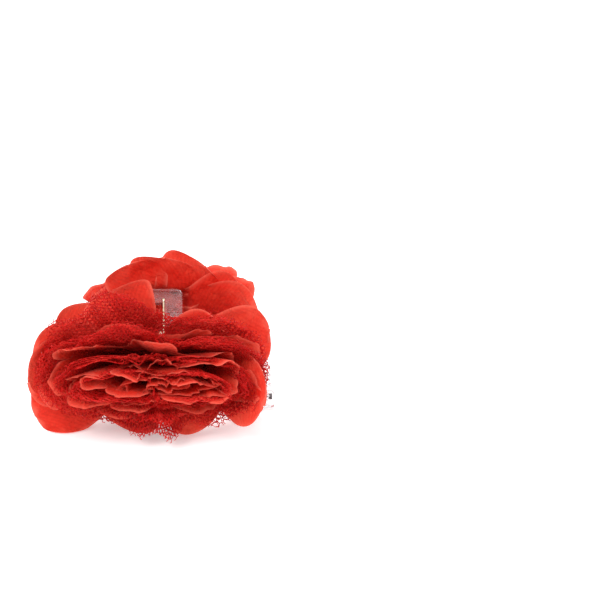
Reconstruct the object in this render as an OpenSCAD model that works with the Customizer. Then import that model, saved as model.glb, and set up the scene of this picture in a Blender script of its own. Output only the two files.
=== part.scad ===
// Flower hair clip: a clear plastic claw clip with a sprung hinge, and a layered fabric
// flower glued to the outside of each jaw. Millimetres. X runs along the hinge, the front
// jaw is on the -Y side, +Z is up, and the clip rests on its two toothed rails at z = 0.

/* [Rails and teeth] */
// Length of each toothed rail
rail_l = 94; // [84:1:100]
// Thickness of each rail
rail_t = 2.5; // [2.2:0.1:3]
// Height of each rail
rail_h = 6.2; // [6:0.1:8]
// Distance from the middle plane to the inner face of a rail
rail_in = 6.8; // [6.6:0.1:7.4]
// Width of a tooth, along the rail
tooth_w = 4; // [3:0.1:4.4]
// Height of a tooth
tooth_h = 2.6; // [2:0.1:3]
// Distance between neighbouring teeth of one jaw
tooth_pitch = 17.6; // [16:0.1:18]
// Clearance between a tooth's tip and the opposite rail
tooth_gap = 0.6; // [0.4:0.1:1.2]

/* [Neck and grip] */
// Width of the neck and of the grip
neck_w = 22; // [21.5:0.5:26]
// Width of the open window between the two side bars
window_w = 9; // [8.8:0.1:9.2]
// Distance from the hinge to the outer end of the grip
grip_l = 23; // [21:0.5:24]
// Thickness of the grip's plate
grip_t = 2; // [1.6:0.1:2.4]
// Slope of the grip above the horizontal
grip_angle = 35; // [34:1:38]

/* [Hinge] */
// Height of the hinge above the table
hinge_z = 26; // [25.5:0.5:28]
// Radius of the steel hinge pin
pin_r = 1; // [0.8:0.05:1.2]
// Outside radius of a hinge knuckle
knuckle_r = 3; // [2.6:0.1:3]
// Radial clearance of the pin in the back jaw's knuckles
pin_clearance = 0.06; // [0.02:0.01:0.1]

/* [Spring] */
// Diameter of the spring's wire
wire_d = 0.8; // [0.6:0.05:0.9]
// Mean radius of the spring's coil
coil_r = 2; // [1.8:0.05:2.1]
// Number of whole turns in the coil
coil_turns = 8; // [6:1:8]

/* [Flowers] */
// Half-width of a flower, along the hinge
flower_rx = 49; // [44:1:52]
// Reach of a flower above its centre
flower_up = 27; // [25:0.5:28]
// Reach of a flower below its centre
flower_down = 25; // [22:0.5:25]
// Height of a flower's centre above the table
flower_z = 25.5; // [25.5:0.1:26.5]
// Thickness of one fabric layer away from its centre
fabric_t = 0.5; // [0.3:0.05:0.6]
// Distance between fabric layers where they are glued at the centre
layer_step = 0.9; // [0.8:0.05:1]

/* [Hidden] */
$fn = 48;

rail_out = rail_in + rail_t;
rail_corner_r = 1.5;
tooth_l = 2 * rail_in - tooth_gap;
tooth_z = 2.8;
root_overlap = 1;
front_teeth = [for (i = [-2.5:1:2.5]) i * tooth_pitch];
back_teeth = [for (i = [-2:1:2]) i * tooth_pitch];

// The grip's upper face passes under the hinge's axis at this distance.
grip_drop = coil_r + wire_d / 2 + 0.05;
grip_start = 3.4;
grip_corner_r = 2.2;
window_end = grip_l - 5.9;
window_step = 0.2;
window_z = 18;
rim_w = 1;
rim_h = 0.7;
ridge_n = 4;
ridge_w = 0.55;
ridge_h = 0.5;
ridge_pitch = 1.15;
ridge_start = 10.2;
ridge_in = window_w / 2 + 0.5;
ridge_out = neck_w / 2 - 1.4;
web_t = 1.6;
fillet_r = 4;

// Ends of the neck's inner and outer faces, as [y, z]: bottom inside the rail, top on the grip.
neck_low_z = rail_h - 0.6;
neck_in_top = [
    grip_start * cos(grip_angle) + grip_drop * sin(grip_angle),
    hinge_z + grip_start * sin(grip_angle) - grip_drop * cos(grip_angle)
];
neck_out_top = [
    6 * cos(grip_angle) + (grip_drop + grip_t) * sin(grip_angle),
    hinge_z + 6 * sin(grip_angle) - (grip_drop + grip_t) * cos(grip_angle)
];

knuckle_w = 2.8;
knuckle_gap = 0.35;
knuckle_inset = 0.4;
outer_knuckle_x = neck_w / 2 - knuckle_w - knuckle_inset;
inner_knuckle_x = outer_knuckle_x - knuckle_gap - knuckle_w;
press_r = pin_r - 0.01;
pin_chamfer = 0.3;

coil_half = 3.7;
leg_l = grip_l - 4.4;
coil_steps = 12;
wire_sides = 8;

felt_w = 24;
felt_h = 16;
felt_t = 1;
felt_corner_r = 6;
felt_y = rail_out + 0.4;
felt_z = 17.4;
pad_w = 17;
pad_z = [10.5, 22.5];

// Fabric layers run outwards along Y in this order, from the jaw to the heart of the flower.
layer_n = 10;
segments = 36;
hub_r = 3;
bend_r = 10;
outer_slope = 0.35;
wave = 0.06;
lobe_depth = 0.1;
petal_lobes = 6;
lace_lobes = 9;
heart_dome = 1.5;
roundness = 2.6;

// Where the neck's outer face is at height z.
function neck_out(z) = let (f = (z - neck_low_z) / (neck_out_top[1] - neck_low_z))
    rail_out + (neck_out_top[0] - rail_out) * f;

// How far a bowl has risen at radius r: flat at the hub, steep, then spreading.
function rise(r) = r <= hub_r ? 0
    : r <= bend_r ? (r - hub_r) * bend_r / (bend_r - hub_r)
    : bend_r + (r - bend_r) * outer_slope;

// Steepness of layer i in direction a: gentle along the hinge, steep above and below it.
function steepness(i, a) = let (f = i / (layer_n - 1), side = 0.3 + 2.25 * f, high = 1.35 + 1.35 * f)
    side + (high - side) * (1 - pow(cos(a), 4)) - wave * cos(6 * a);

// Outline radius of a layer in direction a: a rounded oval, lower than high, cut into lobes.
// share is its size beside the whole flower's along the hinge, drop how much less high it is.
function outline(share, drop, lobes, turn, a) =
    let (rx = flower_rx * share, rz = (sin(a) > 0 ? flower_up : flower_down) - drop)
    pow(pow(abs(cos(a)) / rx, roundness) + pow(abs(sin(a)) / rz, roundness), -1 / roundness)
    * (1 - lobe_depth * (1 - abs(cos(lobes * (a - turn) / 2))));

module rounded_rect(w, h, r) {
    square([w - 2 * r, h], center = true);
    square([w, h - 2 * r], center = true);
    for (x = [-1, 1], y = [-1, 1]) translate([x * (w / 2 - r), y * (h / 2 - r)]) circle(r);
}

// Extrudes a [y, z] outline along X between two places.
module along_x(x0, x1) {
    translate([x0, 0, 0]) rotate([90, 0, 90]) linear_extrude(x1 - x0) children();
}

// Extrudes an [x, z] outline along Y between two places.
module along_y(y0, y1) {
    translate([0, y1, 0]) rotate([90, 0, 0]) linear_extrude(y1 - y0) children();
}

module both_sides() {
    children();
    mirror([1, 0, 0]) children();
}

// The frame of the grip: Y runs out along its slope from the hinge, Z stands on its upper face.
module on_grip() {
    translate([0, 0, hinge_z]) rotate([grip_angle, 0, 0]) translate([0, 0, -grip_drop]) children();
}

// A straight tooth across the gap, with a tip rounded in plan and in side view.
module tooth() {
    intersection() {
        translate([0, 0, tooth_z]) linear_extrude(tooth_h) {
            translate([-tooth_w / 2, rail_in - tooth_l + tooth_w / 2])
                square([tooth_w, tooth_l - tooth_w / 2 + root_overlap]);
            translate([0, rail_in - tooth_l + tooth_w / 2]) circle(tooth_w / 2);
        }
        along_x(-tooth_w, tooth_w) {
            translate([rail_in - tooth_l + tooth_h / 2, tooth_z])
                square([tooth_l - tooth_h / 2 + root_overlap, tooth_h]);
            translate([rail_in - tooth_l + tooth_h / 2, tooth_z + tooth_h / 2]) circle(tooth_h / 2);
        }
    }
}

module rail() {
    translate([0, 0, rail_h / 2]) along_y(rail_in, rail_out)
        rounded_rect(rail_l, rail_h, rail_corner_r);
}

module neck_bar() {
    along_x(window_w / 2, neck_w / 2)
        polygon([[rail_in, neck_low_z], [rail_out, neck_low_z], neck_out_top, neck_in_top]);
}

// Fills the foot of the window with a thin plate, flush with the bars' outer face.
module web() {
    along_x(-window_w / 2 - 0.5, window_w / 2 + 0.5)
        polygon([
            [neck_out(neck_low_z) - web_t, neck_low_z], [neck_out(neck_low_z), neck_low_z],
            [neck_out(window_z), window_z], [neck_out(window_z) - web_t, window_z]
        ]);
}

// A rounded corner where the neck leaves the rail.
module foot_fillet() {
    along_y(rail_in, rail_out) difference() {
        translate([neck_w / 2 - 0.5, neck_low_z])
            square([fillet_r + 0.5, fillet_r + rail_h - neck_low_z]);
        translate([neck_w / 2 + fillet_r, rail_h + fillet_r]) circle(fillet_r);
    }
}

module grip_outline(inset) {
    translate([-neck_w / 2 + inset, grip_start])
        square([neck_w - 2 * inset, grip_l - grip_corner_r - grip_start]);
    translate([-neck_w / 2 + grip_corner_r, grip_l - grip_corner_r - 1])
        square([neck_w - 2 * grip_corner_r, grip_corner_r + 1 - inset]);
    for (x = [-1, 1])
        translate([x * (neck_w / 2 - grip_corner_r), grip_l - grip_corner_r])
            circle(grip_corner_r - inset);
}

// The grip's plate with its window, raised rim and finger ridges. The window is a step
// narrower here than between the neck's bars.
module grip() {
    on_grip() {
        translate([0, 0, -grip_t]) linear_extrude(grip_t) difference() {
            grip_outline(0);
            translate([-window_w / 2 + window_step, 0])
                square([window_w - 2 * window_step, window_end]);
        }
        translate([0, 0, -grip_t / 2]) linear_extrude(grip_t / 2 + rim_h) difference() {
            grip_outline(0);
            grip_outline(rim_w);
            translate([-neck_w, 0]) square([2 * neck_w, 2 * grip_start]);
        }
        both_sides() for (i = [0:ridge_n - 1])
            translate([ridge_in, ridge_start + i * ridge_pitch, -grip_t / 2])
                cube([ridge_out - ridge_in, ridge_w, grip_t / 2 + ridge_h]);
    }
}

// A hinge knuckle around the pin and the lug that joins it to its side bar.
module knuckle(x0) {
    along_x(x0, x0 + knuckle_w) {
        translate([0, hinge_z]) circle(knuckle_r);
        polygon([
            [0, hinge_z - knuckle_r], [neck_in_top[0] + 0.6, hinge_z - knuckle_r],
            [neck_in_top[0] + 0.6, hinge_z + 0.6], [0, hinge_z + knuckle_r - 0.5]
        ]);
    }
}

// One jaw on the +Y side. teeth_x are its teeth, knuckle_x its knuckle's inner end.
module jaw(teeth_x, knuckle_x, bore_r) {
    difference() {
        union() {
            rail();
            for (x = teeth_x) translate([x, 0, 0]) tooth();
            web();
            grip();
            both_sides() {
                neck_bar();
                foot_fillet();
                knuckle(knuckle_x);
            }
        }
        translate([-neck_w, 0, hinge_z]) rotate([0, 90, 0]) cylinder(h = 2 * neck_w, r = bore_r);
    }
}

module jaw_front() {
    color([0.95, 0.9, 0.92, 0.5]) mirror([0, 1, 0]) jaw(front_teeth, outer_knuckle_x, press_r);
}

module jaw_back() {
    color([0.95, 0.92, 0.94, 0.5]) jaw(back_teeth, inner_knuckle_x, pin_r + pin_clearance);
}

// Steel pin, pressed into the front knuckles and running in the back ones.
module hinge_pin() {
    color("silver") translate([0, 0, hinge_z]) rotate([0, 90, 0]) rotate_extrude() polygon([
        [0, -neck_w / 2], [pin_r - pin_chamfer, -neck_w / 2], [pin_r, -neck_w / 2 + pin_chamfer],
        [pin_r, neck_w / 2 - pin_chamfer], [pin_r - pin_chamfer, neck_w / 2], [0, neck_w / 2]
    ]);
}

// Torsion spring: a leg on the front grip, the coil round the pin, a leg on the back grip.
// The coil turns from the front leg's tangent point to the back leg's.
coil_start = 270 - grip_angle;
coil_sweep = 360 * coil_turns + 2 * grip_angle;
coil_rings = ceil(coil_sweep / 360 * coil_steps);
function coil_point(f) = let (a = coil_start + coil_sweep * f)
    [-coil_half + 2 * coil_half * f, coil_r * cos(a), hinge_z + coil_r * sin(a)];
function leg_tip(side) = [
    side * coil_half,
    side * (leg_l * cos(grip_angle) + coil_r * sin(grip_angle)),
    hinge_z + leg_l * sin(grip_angle) - coil_r * cos(grip_angle)
];
spring_path = concat(
    [leg_tip(-1)], [for (i = [0:coil_rings]) coil_point(i / coil_rings)], [leg_tip(1)]
);

module torsion_spring() {
    n = len(spring_path);
    function unit(v) = v / norm(v);
    function heading(i) = unit(spring_path[min(i + 1, n - 1)] - spring_path[max(i - 1, 0)]);
    // The wire's cross-section is set out from the hinge's own direction.
    function across(i) = unit(cross(heading(i), [1, 0, 0]));
    function over(i) = cross(across(i), heading(i));
    points = [for (i = [0:n - 1], j = [0:wire_sides - 1]) let (a = 360 * j / wire_sides)
        spring_path[i] + wire_d / 2 * (cos(a) * across(i) + sin(a) * over(i))];
    walls = [for (i = [0:n - 2], j = [0:wire_sides - 1]) let (k = (j + 1) % wire_sides)
        [i * wire_sides + j, (i + 1) * wire_sides + j,
         (i + 1) * wire_sides + k, i * wire_sides + k]];
    start = [[for (j = [0:wire_sides - 1]) j]];
    end = [[for (j = [wire_sides - 1:-1:0]) (n - 1) * wire_sides + j]];
    color("goldenrod") polyhedron(points, concat(walls, start, end));
}

// One fabric layer: a thin lobed bowl that opens outwards, glued at its hub to the next.
// With full = true the bowl is a little steeper and is filled up to its rim.
module layer(i, share, drop, lobes, turn, full = false) {
    base = felt_y + felt_t + i * layer_step;
    slope = full ? i + 0.6 : i;
    function ring_r(k, a) = let (rim = outline(share, drop, lobes, turn, a))
        k == 0 ? hub_r : k == 1 ? min(bend_r, rim * 0.7) : rim;
    function floor_y(k, a) = base + steepness(slope, a) * rise(ring_r(k, a));
    function top_y(k, a) = full ? floor_y(2, a) + fabric_t + heart_dome * (2 - k) / 2
        : floor_y(k, a) + (k == 0 ? layer_step : fabric_t);
    function place(k, j, face) = let (a = 360 * j / segments, r = ring_r(k, a))
        [r * cos(a), face == 0 ? floor_y(k, a) : top_y(k, a), flower_z + r * sin(a)];
    points = concat(
        [for (face = [0, 1], k = [0:2], j = [0:segments - 1]) place(k, j, face)],
        [[0, base, flower_z], [0, full ? top_y(0, 0) : base + layer_step, flower_z]]
    );
    function at(face, k, j) = (face * 3 + k) * segments + j % segments;
    hub = 6 * segments;
    faces = concat(
        [for (j = [0:segments - 1]) [hub, at(0, 0, j), at(0, 0, j + 1)]],
        [for (j = [0:segments - 1]) [hub + 1, at(1, 0, j + 1), at(1, 0, j)]],
        [for (k = [0, 1], j = [0:segments - 1]) each [
            [at(0, k, j), at(0, k + 1, j), at(0, k + 1, j + 1)],
            [at(0, k, j), at(0, k + 1, j + 1), at(0, k, j + 1)],
            [at(1, k, j), at(1, k + 1, j + 1), at(1, k + 1, j)],
            [at(1, k, j), at(1, k, j + 1), at(1, k + 1, j + 1)]
        ]],
        [for (j = [0:segments - 1]) each [
            [at(0, 2, j), at(1, 2, j), at(1, 2, j + 1)],
            [at(0, 2, j), at(1, 2, j + 1), at(0, 2, j + 1)]
        ]]
    );
    polyhedron(points, faces);
}

// Satin petals, n = 1 (largest, next to the jaw) to 5. Each is smaller and more cupped.
module petals(n) {
    share = [1, 0.94, 0.82, 0.67, 0.49];
    drop = [0, 1, 3, 6, 9.5];
    color([0.86, 0.16, 0.12])
        layer(2 * n - 2, share[n - 1], drop[n - 1], petal_lobes, 30 * ((n - 1) % 2));
}

// Net lace between the petals, n = 1 (largest) to 4.
module lace(n) {
    share = [0.98, 0.91, 0.77, 0.59];
    drop = [0.5, 2, 4.5, 8];
    color([0.62, 0.06, 0.08]) layer(2 * n - 1, share[n - 1], drop[n - 1], lace_lobes, 20);
}

// The gathered heart of the flower.
module ruffle() {
    color([0.8, 0.1, 0.1]) layer(layer_n - 1, 0.32, 13.5, 4, 0, true);
}

// Backing patch that the flower is gathered on.
module felt_backing() {
    color([0.5, 0.04, 0.06]) translate([0, 0, felt_z]) along_y(felt_y, felt_y + felt_t)
        rounded_rect(felt_w, felt_h, felt_corner_r);
}

// Hardened glue that fills the wedge between the leaning neck and the upright patch.
module glue_pad() {
    color([0.95, 0.93, 0.85, 0.6]) along_x(-pad_w / 2, pad_w / 2) polygon([
        [neck_out(pad_z[0]), pad_z[0]], [felt_y, pad_z[0]],
        [felt_y, pad_z[1]], [neck_out(pad_z[1]), pad_z[1]]
    ]);
}

// Turns a piece of the back flower into its twin on the front.
module front() mirror([0, 1, 0]) children();

jaw_front();
jaw_back();
hinge_pin();
torsion_spring();
front() glue_pad();  // front_glue_pad
front() felt_backing();  // front_felt_backing
front() petals(1);  // front_petals_1
front() lace(1);  // front_lace_1
front() petals(2);  // front_petals_2
front() lace(2);  // front_lace_2
front() petals(3);  // front_petals_3
front() lace(3);  // front_lace_3
front() petals(4);  // front_petals_4
front() lace(4);  // front_lace_4
front() petals(5);  // front_petals_5
front() ruffle();  // front_ruffle
glue_pad();  // back_glue_pad
felt_backing();  // back_felt_backing
petals(1);  // back_petals_1
lace(1);  // back_lace_1
petals(2);  // back_petals_2
lace(2);  // back_lace_2
petals(3);  // back_petals_3
lace(3);  // back_lace_3
petals(4);  // back_petals_4
lace(4);  // back_lace_4
petals(5);  // back_petals_5
ruffle();  // back_ruffle
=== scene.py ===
"""Flower hair clip: satin petals, crumpled net, gathered hearts and their fittings, built round
the CAD frame. Flower shapes are worked out in millimetres and made into meshes in metres.

A flower's own coordinates are p (along the hinge), q (up from its hub) and h (outwards from its
felt backing). The front flower opens towards -Y. The back one is turned half a turn about Z.
"""

import math

import bpy
import numpy as np
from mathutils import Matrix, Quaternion, Vector


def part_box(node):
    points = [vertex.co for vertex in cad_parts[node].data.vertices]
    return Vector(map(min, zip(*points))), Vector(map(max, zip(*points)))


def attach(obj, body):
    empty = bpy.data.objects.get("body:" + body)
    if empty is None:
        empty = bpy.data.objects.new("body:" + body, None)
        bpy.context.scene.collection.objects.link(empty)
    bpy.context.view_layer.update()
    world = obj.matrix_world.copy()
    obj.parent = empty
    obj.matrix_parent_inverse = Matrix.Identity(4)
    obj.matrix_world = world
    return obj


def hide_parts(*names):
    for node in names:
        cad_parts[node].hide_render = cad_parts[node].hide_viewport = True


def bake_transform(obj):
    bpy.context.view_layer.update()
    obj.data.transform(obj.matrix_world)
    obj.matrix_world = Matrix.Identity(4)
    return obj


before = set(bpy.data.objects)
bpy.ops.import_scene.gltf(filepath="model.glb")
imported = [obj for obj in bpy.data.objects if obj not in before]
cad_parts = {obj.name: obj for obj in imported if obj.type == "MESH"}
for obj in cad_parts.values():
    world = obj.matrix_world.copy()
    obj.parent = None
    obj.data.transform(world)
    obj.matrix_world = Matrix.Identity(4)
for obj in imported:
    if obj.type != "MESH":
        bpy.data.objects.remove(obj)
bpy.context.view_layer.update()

MM = 0.001
FRONT, BACK = "front", "back"
BODY = {FRONT: "front_body", BACK: "back_body"}
SATIN, NET, HEART = "satin", "net", "heart"

# ---------------------------------------------------------------------------- places from the frame

pin_low, pin_high = (np.array(c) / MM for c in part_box("hinge_pin"))
felt_low, felt_high = (np.array(c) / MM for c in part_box("back_felt_backing"))
jaw_high = np.array(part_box("jaw_back")[1]) / MM
HINGE_Z = (pin_low[2] + pin_high[2]) / 2
# Where the flowers begin: the felt's outer face, and their hubs just below the hinge.
BASE_Y = felt_high[1]
HUB_DROP = 0.5
HUB_Z = HINGE_Z - HUB_DROP
# The grip's outer end, and the rail's outer face, just inside the felt, and its top.
GRIP_OUT, GRIP_TOP = jaw_high[1:]
RAIL_INSET, RAIL_TOP = 0.4, 6.2
RAIL_OUT = felt_low[1] - RAIL_INSET

# -------------------------------------------------------------------------------- flower proportions

# The satin disc next to the jaw is built petal by petal. Its rims wave this high.
OUTER_WAVE = 1.0
# Each other satin disc, from the jaw outwards: its tips' places as (reach from the hub, height off
# the felt) to the side, above and below, how square its outline is, how many scallops it has and
# how deep they are, and how high its rim waves.
INNER_DISCS = [
    dict(side=(43, 21), top=(19, 19), bottom=(13, 30), corner=3.0, count=8, cut=0.30, wave=1.7),
    dict(side=(39, 26), top=(15, 23), bottom=(8.5, 31.5), corner=3.2, count=7, cut=0.26, wave=2.0),
    dict(side=(34, 29), top=(9.5, 27), bottom=(4.5, 32), corner=3.2, count=6, cut=0.22, wave=2.1),
    dict(side=(26, 30.5), top=(6, 28), bottom=(1.5, 30), corner=3.0, count=6, cut=0.16, wave=2.2),
]
# Each net's disc, in the same form. Each one lies just under an inner satin disc.
NET_DISCS = [
    dict(side=(45, 18), top=(24, 13), bottom=(18.5, 28), corner=2.6, wave=1.8),
    dict(side=(43, 24), top=(19, 20.5), bottom=(13, 32), corner=3.0, wave=1.8),
    dict(side=(37, 29), top=(13, 25), bottom=(7, 32), corner=3.2, wave=1.8),
    dict(side=(30, 32), top=(8, 27.5), bottom=(3.5, 31.5), corner=3.2, wave=1.6),
]
# Bends of the inner layers' mid-lines, in degrees: above and below, and to the side. A bend nearer
# to zero than the least one, in radians, is made that one, because a mid-line can't be straight.
BEND_HIGH, BEND_SIDE = 11, -24
LEAST_BEND = 0.01
# The petals next to the jaw, one by one: the direction from p towards q, the tip's reach and height,
# the bend of the mid-line, half the width, and how the petal is cupped and twisted. It bends away
# from the jaw with a negative bend and back to it with a positive one. A high tip is a square one.
OUTER_PETALS = {
    FRONT: [
        dict(angle=120, reach=31.5, height=3, bend=44, half=12.5, cup=0.15, twist=-4, tip=12),
        dict(angle=172, reach=43, height=18, bend=-22, half=13, cup=0.2, twist=6),
        dict(angle=182, reach=44.5, height=23, bend=-28, half=14, cup=0.2, twist=4),
        dict(angle=203, reach=48, height=16, bend=16, half=14, cup=0.15, twist=8),
        dict(angle=236, reach=25, height=20, bend=10, half=14, cup=0.3, twist=0),
        dict(angle=290, reach=16.5, height=22, bend=10, half=13, cup=0.3, twist=0),
        dict(angle=318, reach=28, height=24, bend=6, half=13, cup=0.2, twist=-6),
        dict(angle=-9, reach=39, height=34, bend=-30, half=14, cup=0.2, twist=-8),
        dict(angle=14, reach=45, height=5, bend=26, half=13, cup=0.2, twist=-6),
        dict(angle=34, reach=29, height=11, bend=28, half=12, cup=0.2, twist=6),
        dict(angle=190, reach=42, height=-5, bend=58, half=14, cup=-0.1, twist=-8),
        dict(angle=-7, reach=43, height=-5, bend=60, half=14, cup=-0.1, twist=10),
        dict(angle=9, reach=42, height=-3, bend=56, half=14, cup=-0.1, twist=-6),
    ],
    BACK: [
        dict(angle=100, reach=26.5, height=10, bend=24, half=14.5, cup=0.3, twist=0),
        dict(angle=132, reach=30, height=10, bend=22, half=14, cup=0.3, twist=0),
        dict(angle=164, reach=37, height=8, bend=16, half=12.5, cup=0.3, twist=0),
        dict(angle=186, reach=39, height=33, bend=-33, half=15, cup=0.2, twist=-6),
        dict(angle=200, reach=43, height=-5, bend=58, half=14, cup=-0.1, twist=8),
        dict(angle=218, reach=34, height=31, bend=-24, half=13, cup=0.2, twist=0),
        dict(angle=262, reach=20, height=23, bend=12, half=15, cup=0.2, twist=0),
        dict(angle=-48, reach=32, height=22, bend=-10, half=14, cup=0.2, twist=0),
        dict(angle=-26, reach=35, height=28, bend=-28, half=12, cup=0.2, twist=6),
        dict(angle=-10, reach=40, height=-5, bend=56, half=13, cup=-0.1, twist=-8),
        dict(angle=66, reach=25, height=10, bend=20, half=13, cup=0.3, twist=0),
        dict(angle=171, reach=41, height=-3, bend=54, half=13, cup=-0.1, twist=6),
    ],
}
# How far each satin layer is turned about its hub, in degrees. A net is turned by half the sum of
# its two neighbours' turns.
TILT = {FRONT: (0, 3, -5, 6, -7), BACK: (0, -3, 5, -5, 6)}
# Where the inner layers of a flower are shorter: (direction, spread, share lost).
SHORT = {FRONT: [(55, 25, 0.12)], BACK: [(22, 48, 0.42), (118, 34, 0.18), (156, 16, 0.10)]}
# Where a satin layer's rim stands out, and is smoother, or back: (direction, spread, share of its
# reach). Layer 1 is the first of the inner discs.
LOBES = {
    (FRONT, 1): [(118, 20, 0.22), (152, 10, -0.12), (84, 10, -0.10)],
    (FRONT, 2): [(80, 24, 0.20), (130, 14, -0.10)],
    (BACK, 2): [(192, 18, 0.16), (-12, 16, 0.12)],
    (BACK, 3): [(165, 18, 0.20)],
}
# Where a net's rim stands out, or back: (direction, spread, share of its reach).
NET_BULGES = {
    (FRONT, 0): [
        (-105, 14, 0.14), (-74, 14, 0.2), (-38, 10, 0.14), (150, 7, 0.2), (116, 20, 0.42), (40, 12, 0.15),
    ],
    (FRONT, 1): [(-68, 16, 0.10), (-14, 10, 0.06), (38, 15, 0.16), (118, 20, 0.3), (180, 20, 0.06)],
    (BACK, 0): [(155, 40, -0.20), (100, 20, -0.08), (48, 6, 0.15), (250, 20, 0.15)],
    (BACK, 1): [(150, 40, -0.15), (-30, 12, 0.08), (215, 14, 0.15)],
}
# How much farther out each layer's hub lies than the one before.
HUB_STEP = 0.9

# The flowers' distance from the floor, what each layer adds to it, and how far outwards a point
# slides for each millimetre that it is raised.
FLOOR_GAP, FLOOR_STEP, FLOOR_SLIDE = 0.5, 0.22, 0.6
# The neck and grip lie within the first distance from the middle, and count for nothing beyond
# the second.
NECK_NEAR, NECK_FAR = 12.5, 19
# How near a flower comes to the middle plane beside the neck, and how fast it leans from it above.
SIDE_CLEAR = 4.6
OPEN_LEAN = math.tan(math.radians(24))
# The grip's outline in side view: it sets out below the hinge, reaches its end below its top, and
# slopes back from there.
GRIP_START, GRIP_KNEE, GRIP_EDGE, GRIP_BACK = 1.5, 4, 2, 0.75
# The flowers' distance from the grip and the rail, how far above its top the rail still counts, and
# what each layer adds to the distances.
GRIP_GAP, RAIL_GAP, RAIL_FADE = 0.4, 0.5, 7
CLEAR_STEP = 0.2

# The points of each mesh, along and across.
PETAL_ROWS, PETAL_COLUMNS = 27, 21
DISC_ROWS, DISC_COLUMNS = 26, 360
HEART_ROWS, HEART_COLUMNS = 12, 330
# The power that rounds an ordinary petal's tip, and the power that narrows it towards the hub.
ROUND_TIP, NARROW_HUB = 5.5, 0.8
# The grid that holds the jaw-side petals' heights, and how far a layer is moved to rest on them.
BED_CELL, BED_HALF = 2.0, 32
REST_GAP, REST_STEP, REST_MOST = 1.0, 0.5, 9.0

# The gathered middle: the ribbon's turns, width and foot, and its middle and half-spans in p and q.
HEART_TURNS, RIBBON, HEART_FOOT = 2.25, 15.0, 20.0
HEART_P, HEART_Q = (3, 17), (2.2, 3.6)

# The net's cells, its threads' thickness, its plies and the distance between them.
NET_CELL, NET_THREAD, NET_PLIES, NET_PLY_GAP = 1.9, 0.28, 4, 0.6
# How uneven its nodes are as a share of a cell, the hole at its hub, and its longest thread.
NET_JITTER, NET_HOLE, NET_LONGEST = 0.11, 5, 3.2
# The shares of its threads that are lost near the rim and within it, and where the rim begins.
NET_RIM_LOSS, NET_INNER_LOSS, NET_RIM_FROM = 0.14, 0.02, 0.93
# The waves round it where it is gathered, and how high they are that far from the hub. Then its
# crumples' size in millimetres and height, how low they may sink, and how far they swirl it.
NET_WAVES, NET_WAVE_HEIGHT, NET_WIDE = (5, 9, 14, 21), 1.6, 40
NET_CRUMPLES = ((13, 1.0), (6, 0.7), (3.2, 0.3))
NET_LOWEST, NET_SWIRL = -0.4, 0.25

# Random phases are drawn from nought to about a full turn.
FULL_PHASE = 6.3


def smooth(x, low, high):
    """0 below low, 1 above high, and an S-curve between them."""
    t = np.clip((x - low) / (high - low), 0, 1)
    return t * t * (3 - 2 * t)


def tip_place(disc, angle, flower):
    """Reach and height of a disc's rim in each direction, in radians."""
    c, s = np.abs(np.cos(angle)), np.abs(np.sin(angle))
    above = np.sin(angle) > 0
    reach_high, height_high = (np.where(above, disc["top"][k], disc["bottom"][k]) for k in (0, 1))
    corner = disc["corner"]
    reach = ((c / disc["side"][0]) ** corner + (s / reach_high) ** corner) ** (-1 / corner)
    reach = reach * (1 - bumps(angle, SHORT[flower]))
    return reach, disc["side"][1] + (height_high - disc["side"][1]) * s**1.1


def arc(reach, height, bend):
    """Length and mean slope of a bent mid-line from the hub to (reach, height)."""
    return np.hypot(reach, height) * bend / np.sin(bend), np.arctan2(height, reach)


def not_straight(bend):
    """The same bends with those near zero made small but usable."""
    return np.where(np.abs(bend) < LEAST_BEND, LEAST_BEND, bend)


def layer_bend(angle):
    """The bend of an inner layer's mid-line in each direction."""
    high, side = math.radians(BEND_HIGH), math.radians(BEND_SIDE)
    return not_straight(side + (high - side) * np.abs(np.sin(angle)) ** 0.8)


def mid_line(t, length, mean, bend):
    """Reach, height and slope at share t of a mid-line whose slope falls from mean + bend to
    mean - bend."""
    slope = mean + bend * (1 - 2 * t)
    k = length / (2 * bend)
    return k * (np.sin(mean + bend) - np.sin(slope)), k * (np.cos(slope) - np.cos(mean + bend)), slope


def keep_clear(p, q, h, layer):
    """Moves points out of the floor, the rails, the neck, the grip's outer end and the space that
    the flowers need above the hinge when the clip is squeezed open."""
    floor_q = FLOOR_GAP + FLOOR_STEP * layer - HUB_Z
    under = np.clip(floor_q - q, 0, None)
    q, h = q + under, h + FLOOR_SLIDE * under
    z = HUB_Z + q
    near = 1 - smooth(np.abs(p), NECK_NEAR, NECK_FAR)
    grip = np.where(
        z < GRIP_TOP - GRIP_EDGE,
        BASE_Y + (GRIP_OUT - BASE_Y) * smooth(z, HINGE_Z - GRIP_START, GRIP_TOP - GRIP_KNEE),
        GRIP_OUT - GRIP_BACK * (z - GRIP_TOP + GRIP_EDGE),
    )
    by_neck = (grip + GRIP_GAP) * near + SIDE_CLEAR * (1 - near)
    rail_share = smooth(z, RAIL_TOP, RAIL_TOP + RAIL_FADE)
    by_rail = RAIL_OUT + RAIL_GAP - (RAIL_OUT - SIDE_CLEAR) * rail_share
    above = SIDE_CLEAR + np.clip(z - HINGE_Z, 0, None) * OPEN_LEAN
    least = np.maximum(np.maximum(by_neck, by_rail), above) - BASE_Y + CLEAR_STEP * layer
    return p, q, np.maximum(h, least)


def in_world(flower, p, q, h):
    """Points in metres, in the row frame."""
    turn = 1 if flower == FRONT else -1
    return np.stack([turn * p, -turn * (BASE_Y + h), HUB_Z + q], axis=-1).reshape(-1, 3) * MM


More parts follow.
